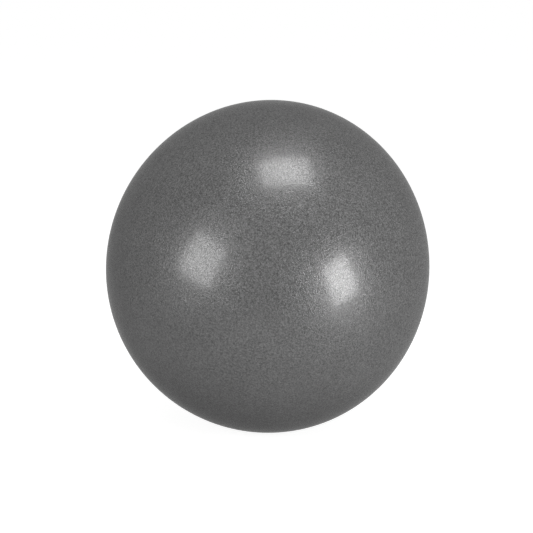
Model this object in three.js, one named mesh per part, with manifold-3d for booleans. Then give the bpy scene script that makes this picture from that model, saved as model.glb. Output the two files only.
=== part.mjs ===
// A small inflatable exercise ball, standing on the floor. It has three pieces: a thin soft skin with
// a round recess, a valve neck bonded behind the recess, and a plug that pulls out of the neck.
// Millimetres, +Z up. The origin is the middle of the patch of skin that lies on the floor, and the
// valve faces +Y.

import * as THREE from "three";
import { mergeVertices } from "three/addons/utils/BufferGeometryUtils.js";
import Module from "manifold-3d";

// Ball
const BALL_WIDTH = 250;
const BALL_HEIGHT = 258; // pole to pole, before the foot is pressed flat
const SKIN_WALL = 0.7;
const FOOT_RADIUS = 12; // the patch that the ball's own weight presses flat

// Recess around the valve, where the plug's head lies flush with the skin
const RECESS_DEPTH = 2.6;
const RECESS_DRAFT = 1.2; // how much wider the recess is at the skin than at its floor
const FINGERNAIL_GAP = 1.4; // the moat around the plug's head

// Valve neck
const NECK_BORE_RADIUS = 3.5;
const NECK_WALL = 2;
const NECK_LENGTH = 18;
const NECK_LEAD_IN = 0.8; // chamfer around both ends of the bore
const FLANGE_REACH = 3; // how far the flange stands out around the tube
const FLANGE_THICKNESS = 1.2;

// Plug
const HEAD_RADIUS = 6.5;
const HEAD_SINK = 0.2; // how far the crown lies below the ball's surface
const HEAD_CROWN = 0.5; // rise of the crown above the head's edge
const HEAD_EDGE_ROUND = 0.6;
const RIB_DEPTH = 0.5;
const RIB_LENGTH = 2.2;
const RIB_SPACE = 1.4; // plain stem between two ribs
const TIP_REACH = 2.4; // how far the tip shows past the neck's inner end
const TIP_RADIUS = 1.8;

// Clearances
const SEAT_GAP = 0.3; // between pieces that touch each other on the real ball
const BORE_GAP = 0.3; // between the plug's ribs and the bore

// Facets
const BALL_SEGMENTS = 48;
const BALL_ARC_DIVISIONS = 6;
const VALVE_SEGMENTS = 32;
const VALVE_ARC_DIVISIONS = 3;

// Worked out from the above. Heights along the valve's axis are measured from the ball's centre.
const HALF_WIDTH = BALL_WIDTH / 2;
const HALF_HEIGHT = BALL_HEIGHT / 2;
const CENTRE_HEIGHT = HALF_HEIGHT * Math.sqrt(1 - (FOOT_RADIUS / HALF_WIDTH) ** 2);
const RECESS_FLOOR = HALF_WIDTH - RECESS_DEPTH;
const RECESS_FLOOR_RADIUS = HEAD_RADIUS + FINGERNAIL_GAP;
const FLANGE_FRONT = RECESS_FLOOR - SKIN_WALL - SEAT_GAP;
const FLANGE_BACK = FLANGE_FRONT - FLANGE_THICKNESS;
const NECK_RADIUS = NECK_BORE_RADIUS + NECK_WALL;
const FLANGE_RADIUS = NECK_RADIUS + FLANGE_REACH;
const NECK_END = FLANGE_FRONT - NECK_LENGTH;
const HEAD_UNDERSIDE = RECESS_FLOOR + SEAT_GAP;
const HEAD_TOP = HALF_WIDTH - HEAD_SINK;
const RIB_RADIUS = NECK_BORE_RADIUS - BORE_GAP;
const STEM_RADIUS = RIB_RADIUS - RIB_DEPTH;
const TIP_END = NECK_END - TIP_REACH;

const wasm = await Module();
wasm.setup();

function solidFrom(geometry) {
  geometry.deleteAttribute("normal");
  geometry.deleteAttribute("uv");
  const merged = mergeVertices(geometry);
  const mesh = new wasm.Mesh({
    numProp: 3,
    vertProperties: merged.getAttribute("position").array,
    triVerts: Uint32Array.from(merged.getIndex().array),
  });
  return new wasm.Manifold(mesh);
}

function geometryFrom(solid) {
  const mesh = solid.getMesh();
  const geometry = new THREE.BufferGeometry();
  geometry.setAttribute("position", new THREE.BufferAttribute(mesh.vertProperties, 3));
  geometry.setIndex(new THREE.BufferAttribute(mesh.triVerts, 1));
  geometry.computeVertexNormals();
  return geometry;
}

// A ball about its centre, turned about Z, with a flat foot at a level below the centre
function standingBall(halfWidth, halfHeight, footLevel) {
  const quarterTurn = Math.PI / 2;
  const footAngle = Math.asin(footLevel / halfHeight);
  const side = new THREE.Path();
  side.absellipse(0, 0, halfWidth, halfHeight, footAngle, 0, false);
  side.absellipse(0, 0, halfWidth, halfHeight, 0, quarterTurn, false);
  const outline = [new THREE.Vector2(0, footLevel), ...side.getPoints(BALL_ARC_DIVISIONS)];
  const geometry = new THREE.LatheGeometry(outline, BALL_SEGMENTS);
  geometry.rotateX(quarterTurn);
  return solidFrom(geometry);
}

// A round block on the valve's axis, which may taper
function valveBlock(innerRadius, outerRadius, innerEnd, outerEnd) {
  const length = outerEnd - innerEnd;
  const geometry = new THREE.CylinderGeometry(outerRadius, innerRadius, length, VALVE_SEGMENTS);
  geometry.translate(0, innerEnd + length / 2, 0);
  return solidFrom(geometry);
}

// The thin skin, pressed flat at its foot, dished in around the valve and holed for the plug
function skinGeometry() {
  const outside = standingBall(HALF_WIDTH, HALF_HEIGHT, -CENTRE_HEIGHT);
  const inside = standingBall(HALF_WIDTH - SKIN_WALL, HALF_HEIGHT - SKIN_WALL, SKIN_WALL - CENTRE_HEIGHT);
  // The recess and the dish of skin around it taper on past the surface, as far again as they are deep.
  const recessEnd = HALF_WIDTH + RECESS_DEPTH;
  const recessEndRadius = RECESS_FLOOR_RADIUS + 2 * RECESS_DRAFT;
  const recess = valveBlock(RECESS_FLOOR_RADIUS, recessEndRadius, RECESS_FLOOR, recessEnd);
  const dishFloor = RECESS_FLOOR - SKIN_WALL;
  const dish = valveBlock(RECESS_FLOOR_RADIUS + SKIN_WALL, recessEndRadius + SKIN_WALL, dishFloor, recessEnd);
  const hole = valveBlock(NECK_BORE_RADIUS, NECK_BORE_RADIUS, FLANGE_FRONT, HEAD_UNDERSIDE);
  const skin = outside.subtract(inside).add(dish.intersect(outside)).subtract(recess).subtract(hole);
  return geometryFrom(skin);
}

// A flanged tube, with its bore chamfered at both ends
function neckGeometry() {
  const outline = new THREE.Path();
  outline.moveTo(NECK_BORE_RADIUS + NECK_LEAD_IN, NECK_END);
  outline.lineTo(NECK_RADIUS, NECK_END);
  outline.lineTo(NECK_RADIUS, FLANGE_BACK);
  outline.lineTo(FLANGE_RADIUS, FLANGE_BACK);
  outline.lineTo(FLANGE_RADIUS, FLANGE_FRONT);
  outline.lineTo(NECK_BORE_RADIUS + NECK_LEAD_IN, FLANGE_FRONT);
  outline.lineTo(NECK_BORE_RADIUS, FLANGE_FRONT - NECK_LEAD_IN);
  outline.lineTo(NECK_BORE_RADIUS, NECK_END + NECK_LEAD_IN);
  outline.closePath();
  return new THREE.LatheGeometry(outline.getPoints(), VALVE_SEGMENTS);
}

// A stopper: a tapered tip, a stem with ribs that grip the bore, and a flat head with a low crown
function plugGeometry() {
  const ribPitch = RIB_LENGTH + RIB_SPACE;
  const ribCount = Math.floor((NECK_LENGTH - RIB_SPACE) / ribPitch);
  const edgeTop = HEAD_TOP - HEAD_CROWN;
  const edgeRound = Math.min(HEAD_EDGE_ROUND, (edgeTop - HEAD_UNDERSIDE) / 2);
  const edgeCentre = HEAD_RADIUS - edgeRound;
  const outline = new THREE.Path();
  outline.moveTo(0, TIP_END);
  outline.lineTo(TIP_RADIUS, TIP_END);
  outline.lineTo(STEM_RADIUS, NECK_END);
  for (let rib = 0; rib < ribCount; rib += 1) {
    const ribStart = NECK_END + RIB_SPACE + rib * ribPitch;
    outline.lineTo(STEM_RADIUS, ribStart);
    outline.lineTo(RIB_RADIUS, ribStart + RIB_LENGTH / 2);
    outline.lineTo(STEM_RADIUS, ribStart + RIB_LENGTH);
  }
  outline.lineTo(STEM_RADIUS, HEAD_UNDERSIDE);
  outline.lineTo(HEAD_RADIUS, HEAD_UNDERSIDE);
  outline.lineTo(HEAD_RADIUS, edgeTop - edgeRound);
  outline.absarc(edgeCentre, edgeTop - edgeRound, edgeRound, 0, Math.PI / 2, false);
  outline.quadraticCurveTo(edgeCentre / 2, HEAD_TOP, 0, HEAD_TOP);
  return new THREE.LatheGeometry(outline.getPoints(VALVE_ARC_DIVISIONS), VALVE_SEGMENTS);
}

function piece(name, geometry, color, roughness) {
  const material = new THREE.MeshStandardMaterial({ color, roughness, metalness: 0 });
  const mesh = new THREE.Mesh(geometry, material);
  mesh.name = name;
  return mesh;
}

const pilatesBall = new THREE.Group();
pilatesBall.position.z = CENTRE_HEIGHT;
pilatesBall.add(piece("ball_skin", skinGeometry(), 0x606060, 0.4));
pilatesBall.add(piece("valve_neck", neckGeometry(), 0x3c3c3c, 0.5));
pilatesBall.add(piece("valve_plug", plugGeometry(), 0xe8e8e4, 0.45));

export default pilatesBall;
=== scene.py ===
# Looks of a small soft exercise ball: a satin skin with a fine moulded grain, and a flush air valve at its
# back. Metres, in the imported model's frame: +Z up, the valve faces +Y and the camera looks along +Y.
import math
from collections import namedtuple

import bpy
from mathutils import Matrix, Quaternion, Vector


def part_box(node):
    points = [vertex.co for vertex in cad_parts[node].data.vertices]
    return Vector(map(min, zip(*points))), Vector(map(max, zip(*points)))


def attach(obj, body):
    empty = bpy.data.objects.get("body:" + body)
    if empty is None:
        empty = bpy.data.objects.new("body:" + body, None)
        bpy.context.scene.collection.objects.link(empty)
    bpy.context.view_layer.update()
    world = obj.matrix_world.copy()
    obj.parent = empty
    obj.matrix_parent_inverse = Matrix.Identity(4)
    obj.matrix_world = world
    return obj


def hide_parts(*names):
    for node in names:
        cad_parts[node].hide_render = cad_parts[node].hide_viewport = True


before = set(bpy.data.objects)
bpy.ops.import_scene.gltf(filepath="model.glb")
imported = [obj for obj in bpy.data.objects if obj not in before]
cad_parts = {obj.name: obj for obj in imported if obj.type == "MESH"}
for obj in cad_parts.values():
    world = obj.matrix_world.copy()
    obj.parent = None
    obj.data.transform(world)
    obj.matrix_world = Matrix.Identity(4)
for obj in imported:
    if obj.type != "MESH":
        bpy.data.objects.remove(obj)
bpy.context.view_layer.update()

MM = 0.001

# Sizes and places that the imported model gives. Places along the valve's axis are measured from the centre.
_, skin_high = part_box("ball_skin")
neck_low, neck_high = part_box("valve_neck")
plug_low, plug_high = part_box("valve_plug")
BALL_RADIUS = skin_high.x
CENTRE_HEIGHT = (neck_low.z + neck_high.z) / 2
HALF_HEIGHT = skin_high.z - CENTRE_HEIGHT
FLANGE_RADIUS = neck_high.x
FLANGE_FRONT = neck_high.y
NECK_END = neck_low.y
HEAD_RADIUS = plug_high.x
HEAD_TOP = plug_high.y
TIP_END = plug_low.y

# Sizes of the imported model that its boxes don't give
SKIN_WALL = 0.7 * MM
RECESS_DEPTH = 2.6 * MM
RECESS_DRAFT = 1.2 * MM
FINGERNAIL_GAP = 1.4 * MM
BORE_RADIUS = 3.5 * MM
NECK_WALL = 2 * MM
NECK_LEAD_IN = 0.8 * MM
FLANGE_THICKNESS = 1.2 * MM
SEAT_GAP = 0.3 * MM
HEAD_CROWN = 0.5 * MM
RIB_RADIUS = 3.2 * MM
STEM_RADIUS = 2.7 * MM
RIB_LENGTH = 2.2 * MM
RIB_SPACE = 1.4 * MM
RIB_COUNT = 4
TIP_RADIUS = 1.8 * MM

# The soft skin's own shape
LEAN = math.radians(8.7)  # how far the ball's long axis leans towards +X
LOBE_COUNT = 3  # shallow swellings around the ball, seen from the front
LOBE_HEIGHT = 0.5 * MM
LOBE_ANGLE = math.radians(70)

# Moulded edges
RECESS_RIM_ROUND = 1.0 * MM
RECESS_FLOOR_ROUND = 0.5 * MM
HOLE_EDGE_ROUND = 0.2 * MM
NECK_EDGE_ROUND = 0.3 * MM
HEAD_EDGE_ROUND = 0.7 * MM
CROWN_FLAT_RADIUS = HEAD_RADIUS / 2
CROWN_ROUND = HEAD_RADIUS / 4
STEM_ROUND = 0.4 * MM
GATE_RADIUS = 1.0 * MM  # the mark that the mould's inlet leaves in the middle of the plug's head
GATE_DEPTH = 0.15 * MM
GATE_ROUND = GATE_DEPTH / 2

# Fineness of the meshes
BALL_SEGMENTS = 192
OUTER_RINGS = 96
INNER_RINGS = 40
VALVE_SEGMENTS = 64
ROUND_STEPS = 5

# Materials. A pair of values is what a noise texture varies between.
NOISE_RANGE = (0.3, 0.7)  # where most of a noise texture's own values lie
SKIN_SHADES = (0.1055, 0.1145)
SKIN_METALLIC = (0.645, 0.27)  # less where the grain is light, which keeps the gloss even
SKIN_ROUGHNESS = (0.12, 0.3)
SKIN_EDGE_TINT = (0.58, 0.58, 0.58, 1)  # how much of the white surroundings the rim mirrors
MOTTLE_SIZE = 30 * MM
MOTTLE_DETAIL = 2
GRAIN_SIZE = 1.2 * MM
GRAIN_DETAIL = 3
GRAIN_HEIGHT = 0.03 * MM
# Darker in the grain's hollows and lighter on its tops: partly the vinyl's own grain tone, partly painted
# shade in the hollows
GRAIN_TONE_AND_HOLLOW_SHADE = (0.57, 1.43)  # times the skin's shade
NUB_SIZE = 0.6 * MM
NUB_HEIGHT = 0.06 * MM
NUB_NOISE = (0.5, 0.75)  # the noise at a nub's foot and at its top
PIT_SIZE = 0.5 * MM
PIT_NOISE = (0.45, 0.55)  # the noise at which the glossy skin ends and at which a dull pit starts
POLISHED_RADIUS = 10.5 * MM  # around the valve, where the mould has no grain
POLISHED_EDGE = 2 * MM
NECK_SHADES = (0.045, 0.055)
NECK_SHADE_SIZE = 2 * MM
NECK_SHADE_DETAIL = 3
NECK_ROUGHNESS = 0.5
NECK_GRAIN_SIZE = 0.5 * MM
NECK_GRAIN_DETAIL = 2
NECK_GRAIN_HEIGHT = 0.01 * MM
PLUG_COLOUR = (0.8, 0.8, 0.77, 1)
PLUG_ROUGHNESS = (0.35, 0.45)
PLUG_SUBSURFACE = 0.2
PLUG_SUBSURFACE_DEPTH = 1 * MM
FLOW_MARK_SIZE = 3 * MM
FLOW_MARK_DETAIL = 2
PLUG_GRAIN_SIZE = 0.8 * MM
PLUG_GRAIN_DETAIL = 3
PLUG_GRAIN_HEIGHT = 0.01 * MM

# Camera, for a square picture. The lens and the sensor are in millimetres.
PICTURE_SIDE = 533
LENS = 85
SENSOR = 36
CAMERA_ELEVATION = math.radians(15)
CAMERA_DISTANCE = 0.9805
BALL_IN_PICTURE = (268.2, 267.0)  # where the ball's centre falls

# Light. A softbox has a direction from the ball's centre, and turns by some degrees about that direction.
Softbox = namedtuple("Softbox", "direction distance width height turn radiance")
SOFTBOXES = {
    "softbox_top": Softbox(
        direction=(0.154, -0.252, 0.956), distance=0.90, width=0.47, height=0.312, turn=-17, radiance=10.9),
    "softbox_left": Softbox(
        direction=(-0.685, -0.690, 0.245), distance=0.90, width=0.40, height=0.40, turn=-20, radiance=8.5),
    "softbox_right": Softbox(
        direction=(0.701, -0.712, 0.040), distance=0.55, width=0.160, height=0.220, turn=16, radiance=18.2),
}
WORLD_COLOUR = (1, 1, 1, 1)
WORLD_LIGHT = 0.35  # on average over all directions
WORLD_BRIGHTEST = (0.82, 0.57, 0)  # the direction that most of the world's light comes from
FLOOR_SIDE = 40
FLOOR_COLOUR = (0.4, 0.4, 0.4, 1)
FLOOR_GLOW = 0.86  # what makes up white where the floor is lit by the world alone


# Meshes
def rounded(corners):
    """The outline through corners, with curves at those that have a rounding.
    A corner is its distance from the axis, its place along it and its rounding."""
    points = [Vector(corner[:2]) for corner in corners]
    outline = []
    for i, (corner, point) in enumerate(zip(corners, points)):
        rounding = corner[2]
        if rounding == 0:
            outline.append(point)
            continue
        towards_last = (points[i - 1] - point).normalized()
        towards_next = (points[(i + 1) % len(points)] - point).normalized()
        start = point + towards_last * rounding
        end = point + towards_next * rounding
        for step in range(ROUND_STEPS + 1):
            t = step / ROUND_STEPS
            outline.append(start * (1 - t) ** 2 + point * (2 * t * (1 - t)) + end * t ** 2)
    return outline


def turned(name, outline, segments, closed=False):
    """A mesh object of an outline (distance from the axis, place along it) turned about the valve's axis.
    A closed outline is a ring's section. Any other starts and ends on the axis."""
    vertices = []
    rings = []
    for distance, along in outline:
        count = 1 if distance == 0 else segments
        rings.append(range(len(vertices), len(vertices) + count))
        for j in range(count):
            angle = 2 * math.pi * j / segments
            height = CENTRE_HEIGHT + distance * math.sin(angle)
            vertices.append((distance * math.cos(angle), along, height))
    pairs = list(zip(rings, rings[1:]))
    if closed:
        pairs.append((rings[-1], rings[0]))
    faces = []
    for ring, after in pairs:
        for j in range(segments):
            k = (j + 1) % segments
            face = (ring[j % len(ring)], after[j % len(after)], after[k % len(after)], ring[k % len(ring)])
            faces.append(tuple(dict.fromkeys(face)))  # a triangle beside a point on the axis
    mesh = bpy.data.meshes.new(name)
    mesh.from_pydata(vertices, [], faces)
    mesh.shade_smooth()
    piece = bpy.data.objects.new(name, mesh)
    bpy.context.scene.collection.objects.link(piece)
    return piece


def soft_shape(point):
    """A point of the round shell, moved to where the leaning, slightly swollen skin has it."""
    centre = Vector((0, 0, CENTRE_HEIGHT))
    reach = point - centre
    direction = reach.normalized()
    long_axis = Vector((math.sin(LEAN), 0, math.cos(LEAN)))
    flattening = 1 - (BALL_RADIUS / HALF_HEIGHT) ** 2
    stretch = 1 / math.sqrt(1 - flattening * direction.dot(long_axis) ** 2)
    sideways = math.hypot(direction.x, direction.z)
    angle = math.atan2(direction.z, direction.x) - LOBE_ANGLE
    lobe = sideways ** LOBE_COUNT * math.cos(LOBE_COUNT * angle)
    moved = centre + reach * (stretch + lobe * LOBE_HEIGHT / BALL_RADIUS)
    outside = reach.length > BALL_RADIUS - SKIN_WALL / 2
    moved.z = max(moved.z, 0 if outside else SKIN_WALL)
    return moved


def arc(radius, start, end, count):
    """Points on a circle about the ball's centre, by the angle from the front pole."""
    angles = [start + (end - start) * i / count for i in range(count + 1)]
    return [Vector((radius * math.sin(a), -radius * math.cos(a))) for a in angles]


def make_skin():
    """The hollow skin. Its outline runs around the outside from the front pole, into the recess,
    through the hole and back around the inside."""
    inner_radius = BALL_RADIUS - SKIN_WALL
    floor_radius = HEAD_RADIUS + FINGERNAIL_GAP
    floor = BALL_RADIUS - RECESS_DEPTH
    rim_radius = floor_radius + RECESS_DRAFT
    rim = math.sqrt(BALL_RADIUS ** 2 - rim_radius ** 2)
    rim_angle = math.pi - math.asin((rim_radius + RECESS_RIM_ROUND) / BALL_RADIUS)
    back_radius = rim_radius + SKIN_WALL
    back_angle = math.pi - math.asin((back_radius + RECESS_RIM_ROUND) / inner_radius)
    outer = arc(BALL_RADIUS, 0, rim_angle, OUTER_RINGS)
    inner = arc(inner_radius, back_angle, 0, INNER_RINGS)
    outer[0].x = inner[-1].x = 0  # both poles lie exactly on the axis
    recess = rounded([
        (*outer[-1], 0),
        (rim_radius, rim, RECESS_RIM_ROUND),
        (floor_radius, floor, RECESS_FLOOR_ROUND),
        (BORE_RADIUS, floor, HOLE_EDGE_ROUND),
        (BORE_RADIUS, floor - SKIN_WALL, HOLE_EDGE_ROUND),
        (floor_radius + SKIN_WALL, floor - SKIN_WALL, RECESS_FLOOR_ROUND),
        (*inner[0], 0),
    ])
    skin = turned("skin", outer + recess[1:-1] + inner, BALL_SEGMENTS)
    for vertex in skin.data.vertices:
        vertex.co = soft_shape(vertex.co)
    return skin


def make_neck():
    """The flanged tube behind the recess."""
    tube_radius = BORE_RADIUS + NECK_WALL
    flange_back = FLANGE_FRONT - FLANGE_THICKNESS
    outline = rounded([
        (BORE_RADIUS + NECK_LEAD_IN, NECK_END, NECK_EDGE_ROUND),
        (tube_radius, NECK_END, NECK_EDGE_ROUND),
        (tube_radius, flange_back, NECK_EDGE_ROUND),
        (FLANGE_RADIUS, flange_back, NECK_EDGE_ROUND),
        (FLANGE_RADIUS, FLANGE_FRONT, NECK_EDGE_ROUND),
        (BORE_RADIUS + NECK_LEAD_IN, FLANGE_FRONT, NECK_EDGE_ROUND),
        (BORE_RADIUS, FLANGE_FRONT - NECK_LEAD_IN, NECK_EDGE_ROUND),
        (BORE_RADIUS, NECK_END + NECK_LEAD_IN, NECK_EDGE_ROUND),
    ])
    return turned("neck", outline, VALVE_SEGMENTS, closed=True)


def make_plug():
    """The stopper: a tapered tip, a ribbed stem and a head with a low crown and a gate mark."""
    head_underside = BALL_RADIUS - RECESS_DEPTH + SEAT_GAP
    edge_top = HEAD_TOP - HEAD_CROWN
    corners = [
        (0, TIP_END, 0),
        (TIP_RADIUS, TIP_END, STEM_ROUND),
        (STEM_RADIUS, NECK_END, STEM_ROUND),
    ]
    for rib in range(RIB_COUNT):
        start = NECK_END + RIB_SPACE + rib * (RIB_LENGTH + RIB_SPACE)
        corners += [
            (STEM_RADIUS, start, STEM_ROUND),
            (RIB_RADIUS, start + RIB_LENGTH / 2, STEM_ROUND),
            (STEM_RADIUS, start + RIB_LENGTH, STEM_ROUND),
        ]
    corners += [
        (STEM_RADIUS, head_underside, STEM_ROUND),
        (HEAD_RADIUS, head_underside, STEM_ROUND),
        (HEAD_RADIUS, edge_top, HEAD_EDGE_ROUND),
        (CROWN_FLAT_RADIUS, HEAD_TOP, CROWN_ROUND),
        (GATE_RADIUS, HEAD_TOP, GATE_DEPTH),
        (GATE_RADIUS - GATE_DEPTH, HEAD_TOP - GATE_DEPTH, GATE_ROUND),
        (0, HEAD_TOP - GATE_DEPTH, 0),
    ]
    return turned("plug", rounded(corners), VALVE_SEGMENTS)


# Materials
def new_material(name):
    """A new material, its node tree and its Principled shader."""
    material = bpy.data.materials.new(name)
    material.use_nodes = True
    return material, material.node_tree, material.node_tree.nodes["Principled BSDF"]


def noise(tree, size, detail=0):
    """A noise texture fixed to the piece, whose blotches are about this size in metres."""
    place = tree.nodes.new("ShaderNodeTexCoord")
    texture = tree.nodes.new("ShaderNodeTexNoise")
    texture.inputs["Scale"].default_value = 1 / size
    texture.inputs["Detail"].default_value = detail
    tree.links.new(place.outputs["Object"], texture.inputs["Vector"])
    return texture.outputs["Fac"]


def spread(tree, source, values, between=NOISE_RANGE):
    """A source spread from the first value to the second while it rises between two levels."""
    ramp = tree.nodes.new("ShaderNodeMapRange")
    ramp.inputs["From Min"].default_value, ramp.inputs["From Max"].default_value = between
    ramp.inputs["To Min"].default_value, ramp.inputs["To Max"].default_value = values
    tree.links.new(source, ramp.inputs["Value"])
    return ramp.outputs["Result"]


def combine(tree, operation, first, second):
    """The result of a Math node for two sources."""
    node = tree.nodes.new("ShaderNodeMath")
    node.operation = operation
    tree.links.new(first, node.inputs[0])
    tree.links.new(second, node.inputs[1])
    return node.outputs["Value"]


def bump(tree, height, distance, below=None):
    """The normal of a surface that a height of 0 to 1 raises by up to a distance.
    It can lie over another bump's normal."""
    node = tree.nodes.new("ShaderNodeBump")
    node.inputs["Distance"].default_value = distance
    tree.links.new(height, node.inputs["Height"])
    if below is not None:
        tree.links.new(below, node.inputs["Normal"])
    return node.outputs["Normal"]


def grain_depth(tree):
    """How whole the grain is: 0 around the valve, where the mould is polished, and 1 further away."""
    place = tree.nodes.new("ShaderNodeTexCoord")
    distance = tree.nodes.new("ShaderNodeVectorMath")
    distance.operation = "DISTANCE"
    distance.inputs[1].default_value = (0, BALL_RADIUS, CENTRE_HEIGHT)
    tree.links.new(place.outputs["Object"], distance.inputs[0])
    edge = (POLISHED_RADIUS, POLISHED_RADIUS + POLISHED_EDGE)
    return spread(tree, distance.outputs["Value"], (0, 1), edge)


def skin_material():
    """Anthracite soft vinyl with a fine grain, and low nubs and dull pits that break up its gloss."""
    material, tree, shader = new_material("skin_vinyl")
    grain = noise(tree, GRAIN_SIZE, GRAIN_DETAIL)
    nubs = spread(tree, noise(tree, NUB_SIZE), (0, 1), NUB_NOISE)
    pits = noise(tree, PIT_SIZE)
    mottle = spread(tree, noise(tree, MOTTLE_SIZE, MOTTLE_DETAIL), SKIN_SHADES)
    # Base colour: random mottle times the grain's tone, which follows the grain's bump, so the hollows carry
    # painted shade
    shades = combine(tree, "MULTIPLY", mottle, spread(tree, grain, GRAIN_TONE_AND_HOLLOW_SHADE))
    tree.links.new(shades, shader.inputs["Base Color"])
    tree.links.new(spread(tree, grain, SKIN_METALLIC), shader.inputs["Metallic"])
    tree.links.new(spread(tree, pits, SKIN_ROUGHNESS, PIT_NOISE), shader.inputs["Roughness"])
    shader.inputs["Specular IOR Level"].default_value = 0
    shader.inputs["Specular Tint"].default_value = SKIN_EDGE_TINT
    depth = grain_depth(tree)
    grained = bump(tree, combine(tree, "MULTIPLY", grain, depth), GRAIN_HEIGHT)
    nubbed = bump(tree, combine(tree, "MULTIPLY", nubs, depth), NUB_HEIGHT, grained)
    tree.links.new(nubbed, shader.inputs["Normal"])
    return material


def neck_material():
    """Dark soft vinyl."""
    material, tree, shader = new_material("neck_vinyl")
    shades = spread(tree, noise(tree, NECK_SHADE_SIZE, NECK_SHADE_DETAIL), NECK_SHADES)
    tree.links.new(shades, shader.inputs["Base Color"])
    shader.inputs["Roughness"].default_value = NECK_ROUGHNESS
    grained = bump(tree, noise(tree, NECK_GRAIN_SIZE, NECK_GRAIN_DETAIL), NECK_GRAIN_HEIGHT)
    tree.links.new(grained, shader.inputs["Normal"])
    return material


def plug_material():
    """White polyethylene with the faint flow marks of moulding."""
    material, tree, shader = new_material("plug_polyethylene")
    shader.inputs["Base Color"].default_value = PLUG_COLOUR
    flow_marks = spread(tree, noise(tree, FLOW_MARK_SIZE, FLOW_MARK_DETAIL), PLUG_ROUGHNESS)
    tree.links.new(flow_marks, shader.inputs["Roughness"])
    grained = bump(tree, noise(tree, PLUG_GRAIN_SIZE, PLUG_GRAIN_DETAIL), PLUG_GRAIN_HEIGHT)
    tree.links.new(grained, shader.inputs["Normal"])
    shader.inputs["Subsurface Weight"].default_value = PLUG_SUBSURFACE
    shader.inputs["Subsurface Scale"].default_value = PLUG_SUBSURFACE_DEPTH
    return material


# Stage
def seen_directly(tree):
    """1 for camera, glossy and transmission rays, which see the white background, and 0 for the rest."""
    path = tree.nodes.new("ShaderNodeLightPath")
    seen = path.outputs["Is Camera Ray"]
    for name in ("Is Glossy Ray", "Is Transmission Ray"):
        seen = combine(tree, "MAXIMUM", seen, path.outputs[name])
    return seen


def make_world():
    """Light from all around, strongest from behind and the right, with a white background behind it."""
    world = bpy.data.worlds.new("studio")
    bpy.context.scene.world = world
    world.use_nodes = True
    tree = world.node_tree
    direction = tree.nodes.new("ShaderNodeTexCoord")
    facing = tree.nodes.new("ShaderNodeVectorMath")
    facing.operation = "DOT_PRODUCT"
    facing.inputs[1].default_value = Vector(WORLD_BRIGHTEST).normalized()
    tree.links.new(direction.outputs["Generated"], facing.inputs[0])
    light = spread(tree, facing.outputs["Value"], (0, 2 * WORLD_LIGHT), (-1, 1))
    strength = tree.nodes.new("ShaderNodeMapRange")
    strength.inputs["To Max"].default_value = 1
    tree.links.new(light, strength.inputs["To Min"])
    tree.links.new(seen_directly(tree), strength.inputs["Value"])
    background = tree.nodes["Background"]
    background.inputs["Color"].default_value = WORLD_COLOUR
    tree.links.new(strength.outputs["Result"], background.inputs["Strength"])


def make_floor():
    """A pale floor that shows white and keeps the ball's shadow."""
    half = FLOOR_SIDE / 2
    mesh = bpy.data.meshes.new("floor")
    corners = [(-half, -half, 0), (half, -half, 0), (half, half, 0), (-half, half, 0)]
    mesh.from_pydata(corners, [], [(0, 1, 2, 3)])
    floor = bpy.data.objects.new("floor", mesh)
    bpy.context.scene.collection.objects.link(floor)
    material, tree, shader = new_material("floor_paper")
    shader.inputs["Base Color"].default_value = FLOOR_COLOUR
    shader.inputs["Roughness"].default_value = 1
    shader.inputs["Specular IOR Level"].default_value = 0
    glow = spread(tree, seen_directly(tree), (0, FLOOR_GLOW), (0, 1))
    tree.links.new(glow, shader.inputs["Emission Strength"])
    mesh.materials.append(material)


def make_softboxes():
    """Rectangular lamps that face the ball."""
    centre = Vector((0, 0, CENTRE_HEIGHT))
    for name, softbox in SOFTBOXES.items():
        data = bpy.data.lights.new(name, "AREA")
        data.shape = "RECTANGLE"
        data.size = softbox.width
        data.size_y = softbox.height
        data.energy = softbox.radiance * math.pi * softbox.width * softbox.height
        lamp = bpy.data.objects.new(name, data)
        towards = Vector(softbox.direction).normalized()
        roll = Quaternion((0, 0, 1), math.radians(softbox.turn))
        lamp.location = centre + towards * softbox.distance
        lamp.rotation_euler = (towards.to_track_quat("Z", "Y") @ roll).to_euler()
        bpy.context.scene.collection.objects.link(lamp)


def make_camera():
    """The camera, in front of the ball and a little above it."""
    data = bpy.data.cameras.new("camera")
    data.lens = LENS
    data.sensor_width = SENSOR
    camera = bpy.data.objects.new("camera", data)
    bpy.context.scene.collection.objects.link(camera)
    back = Vector((0, -math.cos(CAMERA_ELEVATION), math.sin(CAMERA_ELEVATION)))
    camera.rotation_euler = back.to_track_quat("Z", "Y").to_euler()
    camera.location = Vector((0, 0, CENTRE_HEIGHT)) + back * CAMERA_DISTANCE
    data.shift_x = (PICTURE_SIDE / 2 - BALL_IN_PICTURE[0]) / PICTURE_SIDE
    data.shift_y = (BALL_IN_PICTURE[1] - PICTURE_SIDE / 2) / PICTURE_SIDE
    bpy.context.scene.camera = camera


def finish_piece(piece, material, body, node):
    """Gives a piece its material, puts it on the body that carries it and hides the imported node that it
    takes the place of.
    """
    piece.data.materials.append(material)
    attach(piece, body)
    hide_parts(node)


bpy.context.scene.view_settings.view_transform = "Standard"
make_camera()
make_world()
make_floor()
make_softboxes()
finish_piece(make_skin(), skin_material(), "ball", "ball_skin")
finish_piece(make_neck(), neck_material(), "ball", "valve_neck")
finish_piece(make_plug(), plug_material(), "plug", "valve_plug")
